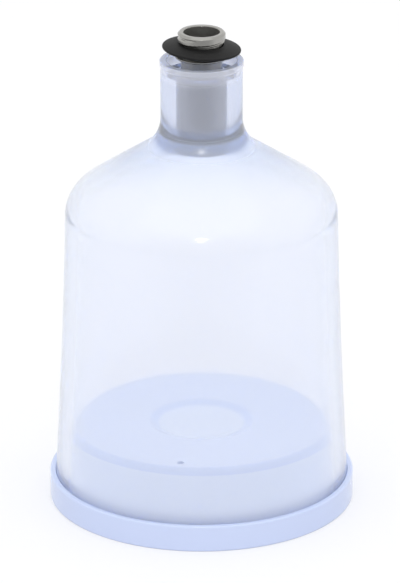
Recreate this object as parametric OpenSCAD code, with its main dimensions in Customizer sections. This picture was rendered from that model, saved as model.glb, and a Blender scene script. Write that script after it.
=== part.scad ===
// Airbrush paint cup of about 50 ml, standing mouth down on its push-on lid.
// Millimetres, +Z up, origin at the centre of the lid's underside.

/* [Cup] */
// Outer radius of the cup at its mouth
mouth_r = 21.97; // [18:0.01:30]
// Wall thickness of the cup
wall = 2.0; // [1.2:0.1:3]
// Height of the tapering wall, from the mouth to the shoulder
wall_h = 42.8; // [20:0.1:90]
// How much the outer radius narrows from the mouth to the shoulder
taper = 1.87; // [0.5:0.01:4]
// How far the wall bows in from a straight taper, half way up
wall_bow = 0.2; // [0:0.05:0.5]
// Radius that rounds the shoulder, on the outside
shoulder_round = 5.5; // [3.4:0.1:8]
// Slope of the shoulder's cone, in degrees above level
shoulder_angle = 33; // [20:1:50]
// Radius of the small rounding at the mouth's edges
mouth_round = 0.4; // [0.1:0.05:0.55]

/* [Neck] */
// Outer radius of the neck
neck_r = 6.02; // [5.7:0.01:9]
// Height of the straight part of the neck
neck_h = 8.85; // [7:0.05:20]
// Radius of the hollow between the shoulder and the neck
neck_fillet = 5.5; // [2:0.05:8]
// How far the bead at the neck's rim stands proud
bead_out = 0.12; // [0.05:0.01:0.4]
// Height of the bead at the neck's rim
bead_h = 0.75; // [0.4:0.05:1.6]
// Radius of the pocket in the neck's rim, round the stem
pocket_r = 5.1; // [4.2:0.05:5.3]
// Depth of the pocket in the neck's rim
pocket_depth = 1.9; // [0.8:0.1:3]

/* [Stem] */
// Radius of the paint passage through the stem
passage_r = 2.65; // [1.5:0.05:2.75]
// Radius of the sleeve that is pressed into the neck
sleeve_r = 3.75; // [3.3:0.05:4]
// Radius of the foot under the neck, inside the cup
foot_r = 5.3; // [4.8:0.05:5.4]
// Height of the foot
foot_h = 2.3; // [1.5:0.05:4]
// Mouth radius of the countersink that leads paint into the passage
countersink_r = 4.5; // [3:0.1:4.8]
// Radius of the bare stem above the sleeve
shank_r = 3.05; // [2.9:0.05:3.2]
// Height of the collar's underside above the neck's rim
collar_rise = 0.45; // [0.2:0.05:2]
// Radius of the collar that the O-ring sits on
collar_r = 3.9; // [3.6:0.05:4.6]
// Thickness of the collar
collar_t = 0.3; // [0.2:0.05:1]
// Radius of the groove that the O-ring is stretched over
groove_r = 3.1; // [2.95:0.05:3.15]
// Chamfer on the stem's turned edges
turned_edge = 0.2; // [0.05:0.05:0.25]

/* [Thread] */
// Outer radius of the thread
thread_r = 3.5; // [3.35:0.05:4]
// Length of the threaded tip above the O-ring
thread_len = 1.55; // [1.2:0.05:8]
// Pitch of the thread
thread_pitch = 1; // [0.5:0.05:1.25]
// Radius at the bottom of the thread
root_r = 3.18; // [3.16:0.02:3.25]
// Chamfer round the tip
tip_chamfer = 0.3; // [0.1:0.05:0.5]

/* [O-ring] */
// Outer radius of the O-ring
ring_r = 5.77; // [4.6:0.01:7]
// Height of the O-ring at its bore
ring_h = 1.5; // [0.8:0.05:2.5]
// Thickness of the O-ring's thin outer edge
ring_edge = 0.4; // [0.2:0.05:0.7]
// How far the O-ring sits askew, in degrees, lower on the right
ring_tilt = 3.4; // [0:0.1:5]

/* [Lid] */
// Thickness of the rim that closes over the mouth
rim_wall = 0.64; // [0.5:0.01:2]
// Height of the rim
rim_h = 4; // [2.6:0.1:8]
// Thickness of the floor that the mouth stands on
web = 1.5; // [0.8:0.1:2]
// Height of the plug's top above the underside
plug_h = 12; // [8:0.1:18]
// Thickness of the plug's side wall
plug_wall = 1.0; // [0.8:0.05:2]
// Thickness of the plug's top
panel_t = 1.2; // [0.9:0.05:2]
// Radius that rounds the plug's top edge
plug_round = 1.05; // [0.2:0.05:2]
// Radius of the dimple in the middle of the plug's top
dimple_r = 7.9; // [4:0.1:12]
// Depth of the dimple
dimple_depth = 0.5; // [0.1:0.05:0.6]
// Width of the dimple's sloping side
dimple_slope = 1.5; // [0.3:0.1:3]
// Radius of the small rounding at the rim's edges
rim_round = 0.3; // [0.05:0.05:0.45]
// Diameter of the vent that lets air in while paint flows
vent_d = 1; // [0.5:0.1:2]
// Direction of the vent, in degrees from the right-hand side
vent_angle = 260; // [0:1:359]
// Plain width between the vent and the plug's side wall
vent_land = 0.15; // [0.05:0.05:3]

/* [Fits] */
// Gap between the mouth and the lid's rim
rim_gap = 0.09; // [0.05:0.01:0.3]
// Gap between the plug and the inside of the cup
plug_gap = 0.08; // [0.05:0.01:0.3]
// Gap between the pressed sleeve and the neck
sleeve_gap = 0.02; // [0.01:0.01:0.1]
// Gap round the foot in its recess
foot_gap = 0.08; // [0.02:0.01:0.2]
// Gap between the O-ring's bore and its groove
ring_gap = 0.1; // [0.08:0.01:0.2]
// Gap under and over the O-ring
ring_slack = 0.05; // [0.02:0.01:0.2]

/* [Hidden] */
$fn = 96;

wall_steps = 8;
arc_steps = 10;
edge_steps = 4;

// The mouth stands on the lid's floor
mouth_z = web;
shoulder_z = mouth_z + wall_h;
shoulder_r = mouth_r - taper;
shoulder_c = shoulder_r - shoulder_round;

// The shoulder's cone runs from the end of its rounding to the start of the neck's hollow
cone_low = [shoulder_c + shoulder_round * sin(shoulder_angle),
            shoulder_z + shoulder_round * cos(shoulder_angle)];
cone_high_r = neck_r + neck_fillet * (1 - sin(shoulder_angle));
cone_high_z = cone_low.y + (cone_low.x - cone_high_r) * tan(shoulder_angle);
neck_base_z = cone_high_z + neck_fillet * cos(shoulder_angle);
rim_z = neck_base_z + neck_h;
pocket_z = rim_z - pocket_depth;

// The same cone inside, one wall thickness in, ends where the foot's recess starts
inner_round = shoulder_round - wall;
inner_low = [shoulder_c + inner_round * sin(shoulder_angle),
             shoulder_z + inner_round * cos(shoulder_angle)];
recess_r = foot_r + foot_gap;
foot_z = inner_low.y + (inner_low.x - recess_r) * tan(shoulder_angle);
seat_z = foot_z + foot_h;

// The stem, from the collar up
collar_z = rim_z + collar_rise;
ring_seat_z = collar_z + collar_t;
tilt_room = thread_r * sin(ring_tilt);
thread_z = ring_seat_z + ring_h + 2 * tilt_room + 2 * ring_slack;
tip_z = thread_z + thread_len;
ring_z = (ring_seat_z + thread_z) / 2;
ring_bore_r = groove_r + ring_gap;

// The lid's rim closes over the mouth, and its plug follows the inside of the wall
rim_in_r = mouth_r + rim_gap;
lid_r = rim_in_r + rim_wall;

// Outer radius of the cup at a height above its mouth
function wall_r(up) = let (t = up / wall_h) mouth_r - taper * t - 4 * wall_bow * t * (1 - t);

// Radius of the plug at a height above the lid's underside
function plug_r(z) = wall_r(z - mouth_z) - wall - plug_gap;

function arc(centre, r, from, to, steps) =
    [for (i = [0:steps]) let (a = from + (to - from) * i / steps) centre + r * [cos(a), sin(a)]];

// Half the O-ring's height at a share of the way from its bore to its edge
function ring_half(share) = ring_edge / 2 + (ring_h - ring_edge) / 2 * cos(90 * share);

module revolve(points) {
    rotate_extrude() polygon(points);
}

// The tapering wall as a line of points, inset by a wall thickness for the inside
function wall_line(inset, from, to) =
    [for (i = [0:wall_steps]) let (up = from + (to - from) * i / wall_steps)
        [wall_r(up) - inset, mouth_z + up]];

module cup() {
    outside = concat(
        arc([mouth_r - mouth_round, mouth_z + mouth_round], mouth_round, -90, 0, edge_steps),
        wall_line(0, 2 * mouth_round, wall_h),
        arc([shoulder_c, shoulder_z], shoulder_round, 0, 90 - shoulder_angle, arc_steps),
        arc([neck_r + neck_fillet, neck_base_z], neck_fillet, 270 - shoulder_angle, 180, arc_steps),
        [[neck_r, rim_z - bead_h - bead_out], [neck_r + bead_out, rim_z - bead_h],
         [neck_r + bead_out, rim_z - bead_out], [neck_r, rim_z]]);
    inside = concat(
        [[pocket_r, rim_z], [pocket_r, pocket_z], [sleeve_r + sleeve_gap, pocket_z],
         [sleeve_r + sleeve_gap, seat_z], [recess_r, seat_z], [recess_r, foot_z]],
        arc([shoulder_c, shoulder_z], inner_round, 90 - shoulder_angle, 0, arc_steps),
        wall_line(wall, wall_h, 2 * mouth_round),
        arc([mouth_r - wall + mouth_round, mouth_z + mouth_round], mouth_round, 180, 270, edge_steps));
    color("aliceblue", 0.6) revolve(concat(outside, inside));
}

// The thread is one right-hand V groove wound up the tip from the O-ring's groove.
// It ends at the front, half a pitch below the tip, and fades out over its last steps.
groove_steps = 24;
fade_steps = 4;
front = 270;
groove_low = thread_z - 0.3 * thread_pitch;
groove_high = tip_z - 0.5 * thread_pitch;
groove_open = 0.42 * thread_pitch;
groove_flat = 0.06 * thread_pitch;
groove_proud = 0.4 * (thread_r - groove_r);

module thread_groove() {
    turns = (groove_high - groove_low) / thread_pitch;
    last = ceil(turns * groove_steps);
    rings = [for (i = [0:last]) let (
        a = front + 360 * (i - last) / groove_steps,
        z = groove_low + thread_pitch * i / groove_steps,
        fade = min(1, (last - i) / fade_steps),
        inner = thread_r + groove_proud / 2 - fade * (thread_r + groove_proud / 2 - root_r),
        outer = thread_r + groove_proud)
        [for (p = [[outer, -groove_open], [inner, -groove_flat], [inner, groove_flat], [outer, groove_open]])
            [p.x * cos(a), p.x * sin(a), z + p.y]]];
    points = [for (ring = rings) for (p = ring) p];
    sides = [for (i = [0:last - 1]) for (k = [0:3]) let (n = (k + 1) % 4)
        for (face = [[4 * i + k, 4 * i + 4 + n, 4 * i + n], [4 * i + k, 4 * i + 4 + k, 4 * i + 4 + n]]) face];
    polyhedron(points, concat([[0, 1, 2], [0, 2, 3]], sides,
        [[4 * last, 4 * last + 2, 4 * last + 1], [4 * last, 4 * last + 3, 4 * last + 2]]));
}

module stem() {
    edge = turned_edge;
    fine = turned_edge / 2;
    color("silver") difference() {
        revolve([
            [countersink_r, foot_z], [foot_r - edge, foot_z], [foot_r, foot_z + edge], [foot_r, seat_z],
            [sleeve_r, seat_z], [sleeve_r, pocket_z - edge], [sleeve_r - edge, pocket_z], [shank_r, pocket_z],
            [shank_r, collar_z], [collar_r - fine, collar_z], [collar_r, collar_z + fine],
            [collar_r, ring_seat_z], [groove_r, ring_seat_z], [groove_r, thread_z],
            [thread_r, thread_z + (thread_r - groove_r) / 2], [thread_r, tip_z - tip_chamfer],
            [thread_r - tip_chamfer, tip_z], [passage_r + fine, tip_z], [passage_r, tip_z - fine],
            [passage_r, foot_z + countersink_r - passage_r]]);
        thread_groove();
    }
}

module o_ring() {
    width = ring_r - ring_edge / 2 - ring_bore_r;
    top = [for (i = [0:arc_steps - 1]) let (share = i / arc_steps)
        [ring_bore_r + width * share, ring_half(share)]];
    bottom = [for (i = [arc_steps - 1:-1:0]) [top[i].x, -top[i].y]];
    edge = arc([ring_bore_r + width, 0], ring_edge / 2, 90, -90, 2 * edge_steps);
    color("dimgray") translate([0, 0, ring_z]) rotate([0, ring_tilt, 0]) revolve(concat(top, edge, bottom));
}

module lid() {
    side = plug_h - plug_round;
    hollow_h = plug_h - panel_t;
    corner = plug_wall / 2;
    outer = concat(
        arc([lid_r - rim_round, rim_round], rim_round, -90, 0, edge_steps),
        arc([lid_r - rim_round, rim_h - rim_round], rim_round, 0, 90, edge_steps),
        [[rim_in_r, rim_h], [rim_in_r, web]],
        [for (i = [0:edge_steps]) let (z = web + (side - web) * i / edge_steps) [plug_r(z), z]],
        arc([plug_r(side) - plug_round, side], plug_round, 0, 90, edge_steps),
        [[dimple_r, plug_h], [dimple_r - dimple_slope, plug_h - dimple_depth], [0, plug_h - dimple_depth]]);
    hollow = concat(
        [[0, hollow_h]],
        arc([plug_r(side) - plug_wall - corner, hollow_h - corner], corner, 90, 0, edge_steps),
        [[plug_r(web) - plug_wall, 0]]);
    vent_x = plug_r(side) - plug_wall - corner - vent_land - vent_d / 2;
    color("lightsteelblue", 0.8) difference() {
        revolve(concat(outer, hollow));
        rotate([0, 0, vent_angle]) translate([vent_x, 0, 0]) cylinder(h = plug_h + 1, d = vent_d);
    }
}

cup();
stem();
o_ring();
lid();
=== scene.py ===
# Airbrush paint cup of about 50 ml, standing mouth down on its push-on lid, stem up.
import math

import bmesh
import bpy
import numpy as np
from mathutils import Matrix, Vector


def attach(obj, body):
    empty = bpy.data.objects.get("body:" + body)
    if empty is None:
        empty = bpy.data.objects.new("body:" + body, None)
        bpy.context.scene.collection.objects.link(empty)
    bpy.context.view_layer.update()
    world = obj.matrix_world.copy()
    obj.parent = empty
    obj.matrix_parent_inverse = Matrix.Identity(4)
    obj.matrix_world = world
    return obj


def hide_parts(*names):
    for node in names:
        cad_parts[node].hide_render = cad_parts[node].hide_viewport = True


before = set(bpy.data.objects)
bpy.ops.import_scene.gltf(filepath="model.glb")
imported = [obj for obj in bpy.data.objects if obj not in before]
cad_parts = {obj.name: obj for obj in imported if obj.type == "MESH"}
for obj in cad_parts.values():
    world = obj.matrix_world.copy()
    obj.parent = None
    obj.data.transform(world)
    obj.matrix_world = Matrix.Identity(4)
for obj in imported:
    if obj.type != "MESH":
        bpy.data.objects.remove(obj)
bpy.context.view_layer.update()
mm = 0.001  # pieces are worked out in millimetres, the camera and the studio in metres
sharpEdge = math.radians(32)  # edges sharper than this stay crisp
near = 0.01  # mm, points this close count as being at the same place
print("frame loaded:", sorted(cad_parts))

# From the photograph: a long lens, looking down about 21 degrees.
cameraView = {"target": (0, 0, 0.03208), "distance": 0.7567, "elevation": 21.04,
              "lens": 315.5, "shiftX": -0.00274, "clipStart": 0.01, "clipEnd": 20}


# The camera stands in front of the cup, at the given distance and height angle, and looks at the target.
def placeCamera(view):
    tilt = math.radians(view["elevation"])
    data = bpy.data.cameras.new("camera")
    data.lens, data.shift_x = view["lens"], view["shiftX"]
    data.clip_start, data.clip_end = view["clipStart"], view["clipEnd"]
    camera = bpy.data.objects.new("camera", data)
    bpy.context.collection.objects.link(camera)
    back = Vector((0, -math.cos(tilt), math.sin(tilt)))
    camera.location = Vector(view["target"]) + back * view["distance"]
    camera.rotation_euler = (-back).to_track_quat("-Z", "Y").to_euler()
    bpy.context.scene.camera = camera


placeCamera(cameraView)
print("camera placed")


# Points on a circle about a centre (r, z), between two angles in degrees: the centre plus the radius times
# the angle's cosine and sine.
def arc(centre, radius, start, end, steps=12):
    angle = np.radians(np.linspace(start, end, steps + 1))
    return np.column_stack([centre[0] + radius * np.cos(angle), centre[1] + radius * np.sin(angle)])


# Each corner of a line of points becomes an arc of its own radius: it starts radius * tan(turn / 2) before
# the corner, and swings by the corner's turn about a centre one radius to the side that the line turns to.
def roundCorners(points, radii, steps=6):
    p = np.array(points, float)
    before, after = np.diff(p, axis=0)[:-1], np.diff(p, axis=0)[1:]
    before = before / np.linalg.norm(before, axis=1, keepdims=True)
    after = after / np.linalg.norm(after, axis=1, keepdims=True)
    turn = np.arctan2(before[:, 0] * after[:, 1] - before[:, 1] * after[:, 0], (before * after).sum(1))
    radius = np.broadcast_to(radii, turn.shape)
    start = p[1:-1] - before * (radius * np.tan(np.abs(turn) / 2))[:, None]
    side = np.column_stack([-before[:, 1], before[:, 0]]) * np.sign(turn)[:, None]
    centre = start + side * radius[:, None]
    swing = turn[:, None] * np.linspace(0, 1, steps + 1)
    arm = (start - centre)[:, None, :]
    arcs = np.stack([arm[..., 0] * np.cos(swing) - arm[..., 1] * np.sin(swing),
                     arm[..., 0] * np.sin(swing) + arm[..., 1] * np.cos(swing)], axis=-1) + centre[:, None, :]
    return np.vstack([p[:1], arcs.reshape(-1, 2), p[-1:]])


# The same line with a point at least every step, and one close to each end of its long stretches, so that
# smooth shading keeps flats flat: both coordinates are interpolated against the length run along the line.
def denser(points, step, close=0.04):
    gap = np.linalg.norm(np.diff(points, axis=0), axis=1)
    points = points[np.append(True, gap > 1e-5)]  # no point twice
    run = np.append(0, np.cumsum(np.linalg.norm(np.diff(points, axis=0), axis=1)))
    far = np.diff(run) > 4 * close
    wanted = np.sort(np.concatenate([run, run[:-1][far] + close, run[1:][far] - close,
                                     np.arange(0, run[-1], step)]))
    wanted = wanted[np.append(True, np.diff(wanted) > 0.004)]  # and none almost on another
    return np.column_stack([np.interp(wanted, run, points[:, 0]), np.interp(wanted, run, points[:, 1])])


# A surface turned about the Z axis, as a grid: at angle a, the outline's point (r, z) goes to
# (r cos a, r sin a, z). change may give the grid new radii first, and place may move its points after.
# inside marks the faces that start at each of the outline's points, for the material.
def turnedSurface(name, outline, around, closed=True, change=None, place=None, inside=None):
    angle = np.linspace(0, 2 * np.pi, around, endpoint=False)
    a, r = np.meshgrid(angle, outline[:, 0], indexing="ij")
    z = np.broadcast_to(outline[:, 1], r.shape)
    if change:
        r = change(r, z, a)
    grid = np.stack([r * np.cos(a), r * np.sin(a), z], axis=-1)
    if place:
        grid = place(grid)
    rows, columns = r.shape
    index = np.arange(rows * columns).reshape(rows, columns)
    along = index if closed else index[:, :-1]
    nextAlong = np.roll(index, -1, axis=1) if closed else index[:, 1:]
    nextRow = np.roll(along, -1, axis=0)
    nextBoth = np.roll(nextAlong, -1, axis=0)
    faces = np.stack([along, nextRow, nextBoth, nextAlong], axis=-1).reshape(-1, 4)
    mesh = bpy.data.meshes.new(name)
    mesh.from_pydata((grid.reshape(-1, 3) * mm).tolist(), [], faces.tolist())
    if inside is not None:
        mesh.attributes.new("inside", "FLOAT", "FACE").data.foreach_set(
            "value", np.tile(inside[:along.shape[1]], rows).astype(np.float32))
    return finishMesh(name, mesh)


# Poles and seams are merged, normals are turned outwards, and shading is smooth up to the sharp edges.
def finishMesh(name, mesh):
    work = bmesh.new()
    work.from_mesh(mesh)
    bmesh.ops.remove_doubles(work, verts=work.verts, dist=1e-4 * mm)
    bmesh.ops.dissolve_degenerate(work, edges=work.edges, dist=1e-5 * mm)
    bmesh.ops.recalc_face_normals(work, faces=work.faces)
    work.to_mesh(mesh)
    work.free()
    mesh.shade_smooth()
    mesh.set_sharp_from_angle(angle=sharpEdge)
    piece = bpy.data.objects.new(name, mesh)
    bpy.context.collection.objects.link(piece)
    return piece


# The cup stands mouth down: its neck has an open pocket round the stem, a bore for the sleeve and a recess
# for the foot. neckRounds are the radii of the neck's corners, from under the bead round to the recess.
cupSize = {"mouthR": 21.97, "wall": 2.0, "wallH": 42.8, "taper": 1.87, "bow": 0.2, "mouthZ": 1.5,
           "mouthRound": 0.4, "shoulderRound": 5.5, "slope": 33, "neckR": 6.02, "neckH": 8.85,
           "fillet": 5.5, "beadOut": 0.12, "beadH": 0.75, "pocketR": 5.1, "pocketDepth": 1.9,
           "boreR": 3.77, "recessR": 5.38, "footH": 2.3,
           "neckRounds": [0.08, 0.08, 0.16, 0.12, 0.12, 0.08, 0.08, 0.12],
           "around": 144, "step": 1.2, "wallRows": 40}


# Outer radius of the wall: it tapers evenly and bows in by a parabola, most half way up.
def wallRadius(z, size=cupSize):
    up = (z - size["mouthZ"]) / size["wallH"]
    return size["mouthR"] - size["taper"] * up - 4 * size["bow"] * up * (1 - up)


# Where the cup's parts meet. The shoulder's arc ends where its tangent has the cone's slope, the cone runs
# straight to the arc of the fillet, and that ends upright in the neck. The inner cone starts one wall inside
# the shoulder's arc and rises by its run times the slope's tangent until it meets the recess.
def cupHeights(size):
    slope = math.radians(size["slope"])
    shoulderZ = size["mouthZ"] + size["wallH"]
    centreR = size["mouthR"] - size["taper"] - size["shoulderRound"]
    lowR = centreR + size["shoulderRound"] * math.sin(slope)
    lowZ = shoulderZ + size["shoulderRound"] * math.cos(slope)
    highR = size["neckR"] + size["fillet"] * (1 - math.sin(slope))
    neckZ = lowZ + (lowR - highR) * math.tan(slope) + size["fillet"] * math.cos(slope)
    inner = size["shoulderRound"] - size["wall"]
    footZ = shoulderZ + inner * math.cos(slope) + (centreR + inner * math.sin(slope)
                                                   - size["recessR"]) * math.tan(slope)
    return {"shoulderZ": shoulderZ, "centreR": centreR, "neckZ": neckZ, "rimZ": neckZ + size["neckH"],
            "footZ": footZ, "seatZ": footZ + size["footH"]}


# The cup's closed outline: up the outside from the mouth, over the shoulder's and the fillet's arcs to the
# neck, down through its pocket, bore and recess, and back inside, one wall away from the outside.
def cupOutline(size, at):
    low = size["mouthZ"] + 2 * size["mouthRound"]
    wallZ = np.linspace(low, at["shoulderZ"], size["wallRows"])
    outside = np.column_stack([wallRadius(wallZ), wallZ])
    inside = np.column_stack([wallRadius(wallZ) - size["wall"], wallZ])[::-1]
    r, mr, mz = size["neckR"], size["mouthRound"], size["mouthZ"]
    out, rim = size["beadOut"], at["rimZ"]
    # The neck's line starts 1 mm up its straight outside and ends 0.6 mm over the recess's floor.
    neckTop = roundCorners(
        [(r, at["neckZ"] + 1), (r, rim - size["beadH"] - out), (r + out, rim - size["beadH"]),
         (r + out, rim), (size["pocketR"], rim), (size["pocketR"], rim - size["pocketDepth"]),
         (size["boreR"], rim - size["pocketDepth"]), (size["boreR"], at["seatZ"]),
         (size["recessR"], at["seatZ"]), (size["recessR"], at["footZ"] + 0.6)],
        size["neckRounds"])
    return denser(np.vstack([
        arc((size["mouthR"] - mr, mz + mr), mr, -90, 0),
        outside,
        arc((at["centreR"], at["shoulderZ"]), size["shoulderRound"], 0, 90 - size["slope"], steps=24),
        arc((r + size["fillet"], at["neckZ"]), size["fillet"], 270 - size["slope"], 180, steps=24),
        neckTop,
        [(size["recessR"], at["footZ"])],
        arc((at["centreR"], at["shoulderZ"]), size["shoulderRound"] - size["wall"],
            90 - size["slope"], 0, steps=20),
        inside,
        arc((size["mouthR"] - size["wall"] + mr, mz + mr), mr, 180, 270)]), size["step"])


cupAt = cupHeights(cupSize)
cupLine = cupOutline(cupSize, cupAt)
# The inside is all that follows the flat of the neck's rim on the outline.
cupInside = np.arange(len(cupLine)) > np.flatnonzero(cupLine[:, 1] > cupAt["rimZ"] - near)[-1]
cup = turnedSurface("paintCup", cupLine, cupSize["around"], inside=cupInside)
print("cup surface made,", len(cup.data.polygons), "faces")

# The stem is turned from one bar, with a V thread at its tip. lowFrom, runOut, rootFlat and flank are shares
# of the thread's pitch. crestShare is how far the V's sides reach past the crest, as a share of the thread's
# height over the ring's groove. The V runs out within one turn / fade.
stemSize = {"passageR": 2.65, "sleeveR": 3.75, "footR": 5.3, "sinkR": 4.5, "shankR": 3.05,
            "collarRise": 0.45, "collarR": 3.9, "collarT": 0.3, "grooveR": 3.1, "threadR": 3.5,
            "threadLen": 1.55, "pitch": 1.0, "rootR": 3.18, "tipChamfer": 0.3, "edge": 0.2,
            "lowFrom": 0.3, "runOut": 0.2, "turnSteps": 24, "rootFlat": 0.06, "flank": 0.36,
            "crestShare": 0.4, "fade": 6, "cornerRound": 0.05,
            "around": 192, "step": 1.0, "threadStep": 0.03}
# The ring sits askew in its groove by tilt, in degrees.
ringSize = {"outerR": 5.77, "boreR": 3.2, "height": 1.5, "edge": 0.4, "tilt": 3.4, "slack": 0.05,
            "around": 160, "step": 0.3, "rows": 24}


# The stem's heights, stacked up from the neck's rim. The groove is the ring's height plus, above and below,
# what the ring's tilt lifts the thread's radius (radius * sin(tilt)) and a little slack.
def stemHeights(size, ring, at):
    collarZ = at["rimZ"] + size["collarRise"]
    seatZ = collarZ + size["collarT"]
    room = size["threadR"] * math.sin(math.radians(ring["tilt"])) + ring["slack"]
    threadZ = seatZ + ring["height"] + 2 * room
    return {"collarZ": collarZ, "ringSeatZ": seatZ, "threadZ": threadZ,
            "tipZ": threadZ + size["threadLen"], "ringZ": (seatZ + threadZ) / 2}


# The stem's closed outline, corner by corner: round the foot, up the sleeve, shank and collar, through the
# ring's groove, up the thread, over the tip and down the passage. The thread's stretch has finer points.
def stemOutline(size, high, at):
    footZ, seatZ, pocketZ = at["footZ"], at["seatZ"], at["rimZ"] - cupSize["pocketDepth"]
    e, f = size["edge"], size["edge"] / 2
    tip, threadZ = high["tipZ"], high["threadZ"]
    corners = [(size["sinkR"], footZ), (size["footR"] - e, footZ), (size["footR"], footZ + e),
               (size["footR"], seatZ), (size["sleeveR"], seatZ), (size["sleeveR"], pocketZ - e),
               (size["sleeveR"] - e, pocketZ), (size["shankR"], pocketZ), (size["shankR"], high["collarZ"]),
               (size["collarR"] - f, high["collarZ"]), (size["collarR"], high["collarZ"] + f),
               (size["collarR"], high["ringSeatZ"]), (size["grooveR"], high["ringSeatZ"]),
               (size["grooveR"], threadZ),
               (size["threadR"], threadZ + (size["threadR"] - size["grooveR"]) / 2),
               (size["threadR"], tip - size["tipChamfer"]), (size["threadR"] - size["tipChamfer"], tip),
               (size["passageR"] + f, tip), (size["passageR"], tip - f),
               (size["passageR"], footZ + size["sinkR"] - size["passageR"]), (size["sinkR"], footZ)]
    outline = denser(roundCorners(corners, size["cornerRound"], steps=4), size["step"], close=0.03)
    inThread = (outline[:, 0] > size["shankR"]) & (outline[:, 1] > threadZ) & (outline[:, 1] < tip)
    first, last = np.flatnonzero(inThread)[[0, -1]]
    fine = denser(outline[first:last + 1], size["threadStep"], close=0.02)
    return np.vstack([outline[:first], fine, outline[last + 1:]])


# The thread: at angle a the groove's centre stands at endZ + pitch * (a / one turn + whole turns), counted
# from the front, where it ends. Beyond its flat root, a point's radius is at most the root's plus 4/3 of its
# distance from the flat, and the root rises past the crest over the last sixth of a turn.
def cutThread(size, high):
    pitch, steps = size["pitch"], size["turnSteps"]
    endZ = high["threadZ"] - size["lowFrom"] * pitch + math.ceil(
        (size["threadLen"] - size["runOut"] * pitch) / pitch * steps) / steps * pitch
    proud = size["crestShare"] * (size["threadR"] - size["grooveR"])

    def change(r, z, a):
        share = np.mod(a / (2 * np.pi) - 0.75, 1)
        turns = np.minimum(np.round((z - endZ) / pitch - share), -1)
        away = np.abs(z - endZ - pitch * (share + turns))
        depth = np.clip(-size["fade"] * (share + turns), 0, 1)
        root = size["threadR"] + proud / 2 - depth * (size["threadR"] + proud / 2 - size["rootR"])
        rise = (size["threadR"] + proud - root) / (size["flank"] * pitch)
        groove = root + np.maximum(away - size["rootFlat"] * pitch, 0) * rise
        outside = (r > size["grooveR"] + size["cornerRound"]) & (z > high["threadZ"])
        return np.where(outside, np.minimum(r, groove), r)

    return change


stemAt = stemHeights(stemSize, ringSize, cupAt)
stemLine = stemOutline(stemSize, stemAt, cupAt)[:-1]
stem = turnedSurface("threadedStem", stemLine, stemSize["around"], change=cutThread(stemSize, stemAt),
                     inside=stemLine[:, 0] < stemSize["passageR"] + near)
print("stem surface made,", len(stem.data.polygons), "faces")


# The rubber ring is a flat lens in section: half its height falls as a cosine from the bore to a thin
# rounded edge.
def ringOutline(size):
    share = np.linspace(0, 1, size["rows"])
    width = size["outerR"] - size["edge"] / 2 - size["boreR"]
    half = size["edge"] / 2 + (size["height"] - size["edge"]) / 2 * np.cos(share * np.pi / 2)
    top = np.column_stack([size["boreR"] + width * share, half])
    edge = arc((size["boreR"] + width, 0), size["edge"] / 2, 90, -90, 10)
    bore = [(size["boreR"], 0)]
    return denser(np.vstack([bore, top, edge[1:-1], (top * [1, -1])[::-1], bore]), size["step"])[:-1]


# The whole ring is turned about Y by its tilt and lifted to the middle of its groove.
def tiltRing(grid):
    turn = math.radians(ringSize["tilt"])
    x, y, z = grid[..., 0], grid[..., 1], grid[..., 2]
    return np.stack([x * math.cos(turn) + z * math.sin(turn), y,
                     z * math.cos(turn) - x * math.sin(turn) + stemAt["ringZ"]], axis=-1)


ring = turnedSurface("rubberRing", ringOutline(ringSize), ringSize["around"], place=tiltRing)
print("ring surface made,", len(ring.data.polygons), "faces")

# The lid's plug, with a dimple in its top, fills the mouth, and its rim leans in to lipGap from the wall.
# rimRounds are the radii of its corners, from the plug's foot round the rim to the hollow under the plug.
lidSize = {"rimWall": 0.64, "rimGap": 0.09, "lipGap": 0.03, "plugGap": 0.08, "rimH": 4.0, "web": 1.5,
           "plugH": 12.0, "plugWall": 1.0, "panelT": 1.2, "plugRound": 1.05, "dimpleR": 7.9,
           "dimpleDepth": 0.5, "dimpleSlope": 1.5, "dimpleRound": 0.6, "plugFoot": 0.25,
           "rimRounds": [0.1, 0.15, 0.12, 0.28, 0.3, 0.2], "lipH": 0.2,
           "ventD": 1.0, "ventAngle": 260, "ventLand": 0.15, "ventAround": 32,
           "around": 192, "step": 1.2, "plugRows": 16}


# The plug follows the inside of the cup's wall, one gap away.
def plugRadius(z):
    return wallRadius(z) - cupSize["wall"] - lidSize["plugGap"]


# The lid's outline, open at the axis: out along the dimple and the plug's top, down its side to the well,
# up and over the rim, and back in under the floor and up the hollow, one wall away from the plug's side.
def lidOutline(size):
    rimIn = cupSize["mouthR"] + size["rimGap"]
    outer = rimIn + size["rimWall"]
    side = size["plugH"] - size["plugRound"]
    hollow, corner = size["plugH"] - size["panelT"], size["plugWall"] / 2
    top, dimple = size["plugH"], size["plugH"] - size["dimpleDepth"]
    sideZ = np.linspace(side, size["web"] + size["plugFoot"], size["plugRows"])
    dimpleLine = roundCorners([(0, dimple), (size["dimpleR"] - size["dimpleSlope"], dimple),
                               (size["dimpleR"], top), (plugRadius(side) - size["plugRound"], top)],
                              size["dimpleRound"])
    footR = plugRadius(size["web"])
    rim = roundCorners([(footR, size["web"] + size["plugFoot"]), (footR, size["web"]),
                        (rimIn, size["web"]), (wallRadius(size["rimH"]) + size["lipGap"], size["rimH"]),
                        (outer, size["rimH"]), (outer, 0), (footR - size["plugWall"], 0),
                        (plugRadius(side) - size["plugWall"], hollow - corner)], size["rimRounds"])
    return denser(np.vstack([
        dimpleLine,
        arc((plugRadius(side) - size["plugRound"], side), size["plugRound"], 90, 0),
        np.column_stack([plugRadius(sideZ), sideZ])[1:-1],
        rim[:-1],
        arc((plugRadius(side) - size["plugWall"] - corner, hollow - corner), corner, 0, 90),
        [(0, hollow)]]), size["step"])


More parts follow.
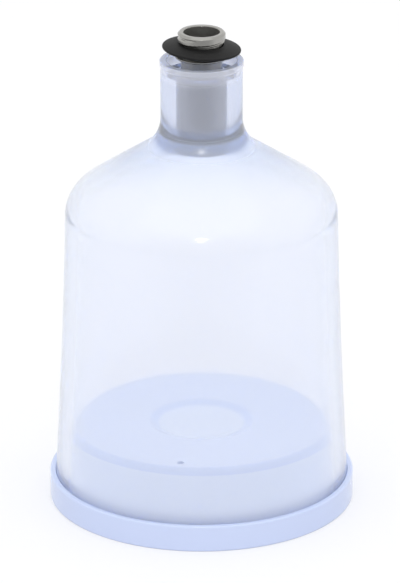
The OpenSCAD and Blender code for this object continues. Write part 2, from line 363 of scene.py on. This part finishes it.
# The vent is drilled up through the plug by a round cutter, which stands clear of the side wall and of the
# hollow's corner, half a wall round, and is longer than the plug is tall by 1 mm at each end.
def drillVent(piece, size):
    side, turn = size["plugH"] - size["plugRound"], math.radians(size["ventAngle"])
    away = plugRadius(side) - 1.5 * size["plugWall"] - size["ventLand"] - size["ventD"] / 2
    low, high = -1, size["plugH"] + 1
    outline = np.array([(0, low), (size["ventD"] / 2, low), (size["ventD"] / 2, high), (0, high)])
    cutter = turnedSurface("ventDrill", outline, size["ventAround"], closed=False,
                           place=lambda grid: grid + [away * math.cos(turn), away * math.sin(turn), 0])
    cut = piece.modifiers.new("vent", "BOOLEAN")
    cut.operation, cut.solver, cut.object = "DIFFERENCE", "EXACT", cutter
    drilled = bpy.data.meshes.new_from_object(piece.evaluated_get(bpy.context.evaluated_depsgraph_get()))
    piece.modifiers.clear()
    piece.data = drilled
    drilled.set_sharp_from_angle(angle=sharpEdge)
    bpy.data.objects.remove(cutter)


# The plug's side, the well between it and the rim, and the dimple's floor are marked as the inside and are
# painted paler than the rest: painted light, for the light that comes through the thin lid into the shut-in
# well and for the light on the dimple's floor. The top of the rim, lipH deep, keeps its own shade.
def paintedLightFaces(line, size):
    r, z = line[:, 0], line[:, 1]
    inWell = (r < cupSize["mouthR"] + size["rimGap"] + near) & (z < size["rimH"] - size["lipH"])
    onPlug = (r < plugRadius(z) + near) & (z < size["plugH"] - size["plugRound"])
    aboveFloor = (r > plugRadius(z) - near) & (z > size["web"] - near)
    floorZ = size["plugH"] - size["dimpleDepth"]
    dimpleFloor = (r < size["dimpleR"] - size["dimpleSlope"]) & (z > floorZ - near)
    return aboveFloor & (inWell | onPlug) | dimpleFloor


lidLine = lidOutline(lidSize)
lid = turnedSurface("pushOnLid", lidLine, lidSize["around"], closed=False, inside=paintedLightFaces(lidLine, lidSize))
drillVent(lid, lidSize)
print("lid surface made,", len(lid.data.polygons), "faces")

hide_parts("cup")
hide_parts("stem")
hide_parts("o_ring")
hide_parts("lid")
for piece, body, slotName in ((cup, "cup", "cup_plastic"), (stem, "cup", "nickel"),
                              (ring, "cup", "rubber"), (lid, "lid", "lid_plastic")):
    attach(piece, body)
print("pieces placed on their bodies")


# An sRGB hex value turned to the linear colour that the shaders take, by the sRGB standard's own curve.
def linearColour(text):
    value = np.array([int(text[i:i + 2], 16) for i in (1, 3, 5)]) / 255
    value = np.where(value <= 0.04045, value / 12.92, ((value + 0.055) / 1.055) ** 2.4)
    return (*value.tolist(), 1.0)


# Adds a node, sets its own settings, and fills or links its inputs.
def addNode(tree, kind, inputs=None, **settings):
    node = tree.nodes.new(kind)
    for name, value in settings.items():
        setattr(node, name, value)
    for socket, value in (inputs or {}).items():
        if isinstance(value, bpy.types.NodeSocket):
            tree.links.new(value, node.inputs[socket])
        else:
            node.inputs[socket].default_value = value
    return node


def newMaterial(name):
    material = bpy.data.materials.new(name)
    material.use_nodes = True
    material.node_tree.nodes.clear()
    return material, material.node_tree


# A value or colour that changes with height, from stops of (height in mm, value). One stop holds all over.
def byHeight(tree, where, stops):
    if len(stops) == 1:
        return linearColour(stops[0][1]) if isinstance(stops[0][1], str) else stops[0][1]
    low, high = stops[0][0], stops[-1][0]
    height = addNode(tree, "ShaderNodeSeparateXYZ", {"Vector": where}).outputs["Z"]
    share = addNode(tree, "ShaderNodeMapRange",
                    {"Value": height, "From Min": low * mm, "From Max": high * mm})
    ramp = addNode(tree, "ShaderNodeValToRGB", {"Fac": share.outputs["Result"]})
    for z, value in stops[1:-1]:
        ramp.color_ramp.elements.new((z - low) / (high - low))
    for stop, (z, value) in zip(ramp.color_ramp.elements, stops):
        stop.color = linearColour(value) if isinstance(value, str) else (value, value, value, 1)
    return ramp.outputs["Color"]


# Moulded polypropylene, natural grade: see-through, tinted blue in its depth, with a milky bloom on the
# outside, where the mould is satin, and the slow waviness of a moulding. The bloom is thickest at the neck's
# rim and, where it is roughest too, at the neck's foot. The inside comes off a polished core and is clear.
# clear is how much passes through the bloom. Colour, roughness and clear change with the height in mm.
# The colour stops from 50 mm up are painted shade: deeper and bluer to the neck's foot and greyer over the
# neck, where the dark metal foot and stem show through the plastic.
plasticFinish = {"colour": [(50, "#FDFDFF"), (55, "#F2F6FF"), (57, "#DEE8FF"), (59, "#EAEDF8")],
                 "roughness": [(44, 0.09), (50, 0.14), (55, 0.26), (57.5, 0.26), (59.5, 0.15), (61.5, 0.06)],
                 "clear": [(2, 0.78), (44, 0.82), (50, 0.79), (54.5, 0.79), (55.5, 0.66), (57.2, 0.66),
                           (58.2, 0.79), (65.5, 0.79), (67.5, 0.55)],
                 "ior": 1.49, "tint": "#5AB8FF", "tintPerMm": 0.026,
                 "peelSize": 5 * mm, "peelHeight": 0.004 * mm}
# Moulded polypropylene again, filled to a milky blue, so that hardly any light passes and it looks soft and
# even. Its rim is a shade deeper than its plug. The sloping edges of the plug's top and of its dimple are
# painted shade, a little deeper than the flat, and its marked faces take a paler colour, painted light.
lidFinish = {"colour": [(4.6, "#C0CBE7"), (9, "#D5E2FF"), (11.9, "#D3E1FE"), (11.97, "#DDE8FF")],
             "paintedLightColour": "#E4EEFF", "roughness": [(0, 0.12)], "clear": [(0, 0.03)],
             "ior": 1.49, "tintPerMm": 0, "peelSize": 5 * mm, "peelHeight": 0.004 * mm}


# The marked faces take the finish's paler, painted-light colour where it has one, and are fully clear where
# it has none.
def plasticMaterial(name, finish):
    material, tree = newMaterial(name)
    where = addNode(tree, "ShaderNodeTexCoord").outputs["Object"]
    peel = addNode(tree, "ShaderNodeTexNoise",
                   {"Vector": where, "Scale": 1 / finish["peelSize"], "Detail": 2.0})
    bump = addNode(tree, "ShaderNodeBump", {"Height": peel.outputs["Fac"], "Strength": 1.0,
                                            "Distance": finish["peelHeight"]})
    inside = addNode(tree, "ShaderNodeAttribute", attribute_name="inside").outputs["Fac"]
    colour, clear = byHeight(tree, where, finish["colour"]), byHeight(tree, where, finish["clear"])
    if "paintedLightColour" in finish:
        pale = linearColour(finish["paintedLightColour"])
        colour = addNode(tree, "ShaderNodeMix", {0: inside, 6: colour, 7: pale}, data_type="RGBA").outputs[2]
    else:
        clear = addNode(tree, "ShaderNodeMix", {0: inside, 2: clear, 3: 1.0}, data_type="FLOAT").outputs[0]
    surface = addNode(tree, "ShaderNodeBsdfPrincipled", {
        "Base Color": colour, "Roughness": byHeight(tree, where, finish["roughness"]),
        "IOR": finish["ior"], "Transmission Weight": clear, "Normal": bump.outputs["Normal"]})
    result = addNode(tree, "ShaderNodeOutputMaterial", {"Surface": surface.outputs["BSDF"]})
    if finish["tintPerMm"]:
        tint = addNode(tree, "ShaderNodeVolumeAbsorption", {"Color": linearColour(finish["tint"]),
                                                            "Density": finish["tintPerMm"] / mm})
        tree.links.new(tint.outputs["Volume"], result.inputs["Volume"])
    return material


cup.data.materials.append(plasticMaterial("satinPolypropylene", plasticFinish))
lid.data.materials.append(plasticMaterial("milkyPolypropylene", lidFinish))

# Turned brass, bright nickel plated: a clean grey metal with fine lathe lines, drawn coarser than the real
# ones so that they show. The drilled passage is rougher, so it keeps more light.
nickelFinish = {"colour": "#A2A19D", "roughness": 0.2, "passageRoughness": 0.45,
                "lathePitch": 0.12 * mm, "latheDepth": 0.002 * mm}


def nickelMaterial(finish):
    material, tree = newMaterial("turnedNickelPlate")
    where = addNode(tree, "ShaderNodeTexCoord").outputs["Object"]
    bands = math.pi / 10 / finish["lathePitch"]  # a wave texture's bands are pi / 10 apart at a scale of 1
    lathe = addNode(tree, "ShaderNodeTexWave", {"Vector": where, "Scale": bands}, bands_direction="Z")
    bump = addNode(tree, "ShaderNodeBump", {"Height": lathe.outputs["Fac"], "Strength": 1.0,
                                            "Distance": finish["latheDepth"]})
    inside = addNode(tree, "ShaderNodeAttribute", attribute_name="inside").outputs["Fac"]
    roughness = addNode(tree, "ShaderNodeMapRange", {"Value": inside, "To Min": finish["roughness"],
                                                     "To Max": finish["passageRoughness"]}).outputs["Result"]
    surface = addNode(tree, "ShaderNodeBsdfPrincipled", {
        "Base Color": linearColour(finish["colour"]), "Roughness": roughness, "Metallic": 1.0,
        "Normal": bump.outputs["Normal"]})
    addNode(tree, "ShaderNodeOutputMaterial", {"Surface": surface.outputs["BSDF"]})
    return material


stem.data.materials.append(nickelMaterial(nickelFinish))

# Moulded nitrile rubber, black: a fine satin grain, which leaves only a dull sheen. The grain is drawn
# coarser than the real one, so that it shows.
rubberFinish = {"colour": "#080809", "roughness": 0.6, "ior": 1.5, "specular": 0.3,
                "grainSize": 0.15 * mm, "grainHeight": 0.01 * mm, "grainStrength": 0.6}


def rubberMaterial(finish):
    material, tree = newMaterial("nitrileRubber")
    where = addNode(tree, "ShaderNodeTexCoord").outputs["Object"]
    grain = addNode(tree, "ShaderNodeTexNoise",
                    {"Vector": where, "Scale": 1 / finish["grainSize"], "Detail": 3.0})
    bump = addNode(tree, "ShaderNodeBump", {"Height": grain.outputs["Fac"],
                                            "Strength": finish["grainStrength"],
                                            "Distance": finish["grainHeight"]})
    surface = addNode(tree, "ShaderNodeBsdfPrincipled", {
        "Base Color": linearColour(finish["colour"]), "Roughness": finish["roughness"],
        "IOR": finish["ior"], "Specular IOR Level": finish["specular"],
        "Normal": bump.outputs["Normal"]})
    addNode(tree, "ShaderNodeOutputMaterial", {"Surface": surface.outputs["BSDF"]})
    return material


ring.data.materials.append(rubberMaterial(rubberFinish))
print("materials dressed")

# The studio is a white table in a white tent, with a softbox overhead and a small lamp above the camera.
# Sizes are in metres. openFrom and openTo say how far round towards the front the tent fades to grey.
studio = {"tableR": 3.0, "tableSides": 64, "tableColour": "#E7E7EA", "tableLift": 0.42,
          "frontFrom": 0.08, "frontTo": 0.2, "frontLevel": 0.55,
          "tentFill": 1.12, "openFront": 0.6, "openFrom": -0.2, "openTo": -0.9,
          "softboxSize": 1.0, "softboxHeight": 0.9, "softboxPower": 0.7,
          "lampSize": 0.08, "lampElevation": 47, "lampDistance": 0.9, "lampPower": 1.5,
          "aimZ": 0.04, "bounces": 32}


# 1 for rays that look at the studio directly or through clear plastic, and 1 for reflections.
def seenRays(tree):
    path = addNode(tree, "ShaderNodeLightPath")
    looks = {0: path.outputs["Is Camera Ray"], 1: path.outputs["Is Transmission Ray"]}
    direct = addNode(tree, "ShaderNodeMath", looks, operation="MAXIMUM").outputs[0]
    return direct, path.outputs["Is Glossy Ray"]


# A level that goes smoothly from the dim one at the front to 1, along Y.
def fadeToFront(tree, where, dimAt, fullAt, dim):
    depth = addNode(tree, "ShaderNodeSeparateXYZ", {"Vector": where}).outputs["Y"]
    return addNode(tree, "ShaderNodeMapRange", {"Value": depth, "From Min": dimAt, "From Max": fullAt,
                                                "To Min": dim, "To Max": 1.0},
                   interpolation_type="SMOOTHSTEP").outputs["Result"]


# Reflections of the tent fade to grey towards its open front, where the room is dim.
def tentMaterial(size):
    world = bpy.data.worlds.new("tent")
    world.use_nodes = True
    bpy.context.scene.world = world
    tree = world.node_tree
    tree.nodes.clear()
    direct, reflected = seenRays(tree)
    ray = addNode(tree, "ShaderNodeTexCoord").outputs["Generated"]
    side = fadeToFront(tree, ray, size["openTo"], size["openFrom"], size["openFront"])
    plain = addNode(tree, "ShaderNodeMapRange", {"Value": direct, "To Min": size["tentFill"], "To Max": 1.0})
    level = addNode(tree, "ShaderNodeMix", {0: reflected, 2: plain.outputs["Result"], 3: side},
                    data_type="FLOAT")
    sky = addNode(tree, "ShaderNodeBackground", {"Color": (1, 1, 1, 1), "Strength": level.outputs[0]})
    addNode(tree, "ShaderNodeOutputWorld", {"Surface": sky.outputs["Background"]})


# White card. It shows tableLift of its own white, and for the rest the light that falls on it, so the shadows
# stay. Reflections of its far front fade to grey, as the dim room behind the camera does.
def tableMaterial(size):
    material, tree = newMaterial("whiteCard")
    direct, reflected = seenRays(tree)
    where = addNode(tree, "ShaderNodeTexCoord").outputs["Object"]
    front = fadeToFront(tree, where, -size["frontTo"], -size["frontFrom"], size["frontLevel"])
    level = addNode(tree, "ShaderNodeMix", {0: reflected, 2: 1.0, 3: front}, data_type="FLOAT")
    seen = addNode(tree, "ShaderNodeMath", {0: direct, 1: reflected}, operation="MAXIMUM")
    lift = addNode(tree, "ShaderNodeMath", {0: seen.outputs[0], 1: size["tableLift"]}, operation="MULTIPLY")
    card = addNode(tree, "ShaderNodeBsdfDiffuse", {"Color": linearColour(size["tableColour"])})
    glow = addNode(tree, "ShaderNodeEmission", {"Color": (1, 1, 1, 1), "Strength": 1.0})
    plain = addNode(tree, "ShaderNodeMixShader", {0: lift.outputs[0], 1: card.outputs["BSDF"],
                                                  2: glow.outputs["Emission"]})
    dark = addNode(tree, "ShaderNodeBsdfDiffuse", {"Color": (0, 0, 0, 1)})
    surface = addNode(tree, "ShaderNodeMixShader", {0: level.outputs[0], 1: dark.outputs["BSDF"],
                                                    2: plain.outputs["Shader"]})
    addNode(tree, "ShaderNodeOutputMaterial", {"Surface": surface.outputs["Shader"]})
    return material


# A round lamp that faces its target.
def areaLamp(name, place, target, diameter, power):
    data = bpy.data.lights.new(name, "AREA")
    data.shape, data.size, data.energy = "DISK", diameter, power
    lamp = bpy.data.objects.new(name, data)
    lamp.location = place
    lamp.rotation_euler = (Vector(target) - Vector(place)).to_track_quat("-Z", "Y").to_euler()
    bpy.context.collection.objects.link(lamp)


def buildStudio(size):
    scene = bpy.context.scene
    scene.view_settings.view_transform = "Standard"
    for kind in ("max_bounces", "diffuse_bounces", "glossy_bounces", "transmission_bounces"):
        setattr(scene.cycles, kind, size["bounces"])
    scene.cycles.blur_glossy = 0.0
    tentMaterial(size)

    # The table is a flat disc, its rim at tableR times the cosine and sine of the angle.
    angle = np.linspace(0, 2 * np.pi, size["tableSides"], endpoint=False)
    rim = np.column_stack([np.cos(angle), np.sin(angle), 0 * angle]) * size["tableR"]
    mesh = bpy.data.meshes.new("table")
    mesh.from_pydata(rim.tolist(), [], [list(range(size["tableSides"]))])
    table = bpy.data.objects.new("table", mesh)
    bpy.context.collection.objects.link(table)
    mesh.materials.append(tableMaterial(size))

    middle = (0, 0, size["aimZ"])
    areaLamp("softbox", (0, 0, size["softboxHeight"]), middle, size["softboxSize"], size["softboxPower"])
    tilt = math.radians(size["lampElevation"])
    front = (0, -math.cos(tilt) * size["lampDistance"],
             size["aimZ"] + math.sin(tilt) * size["lampDistance"])
    areaLamp("frontLamp", front, middle, size["lampSize"], size["lampPower"])


buildStudio(studio)
print("studio built")
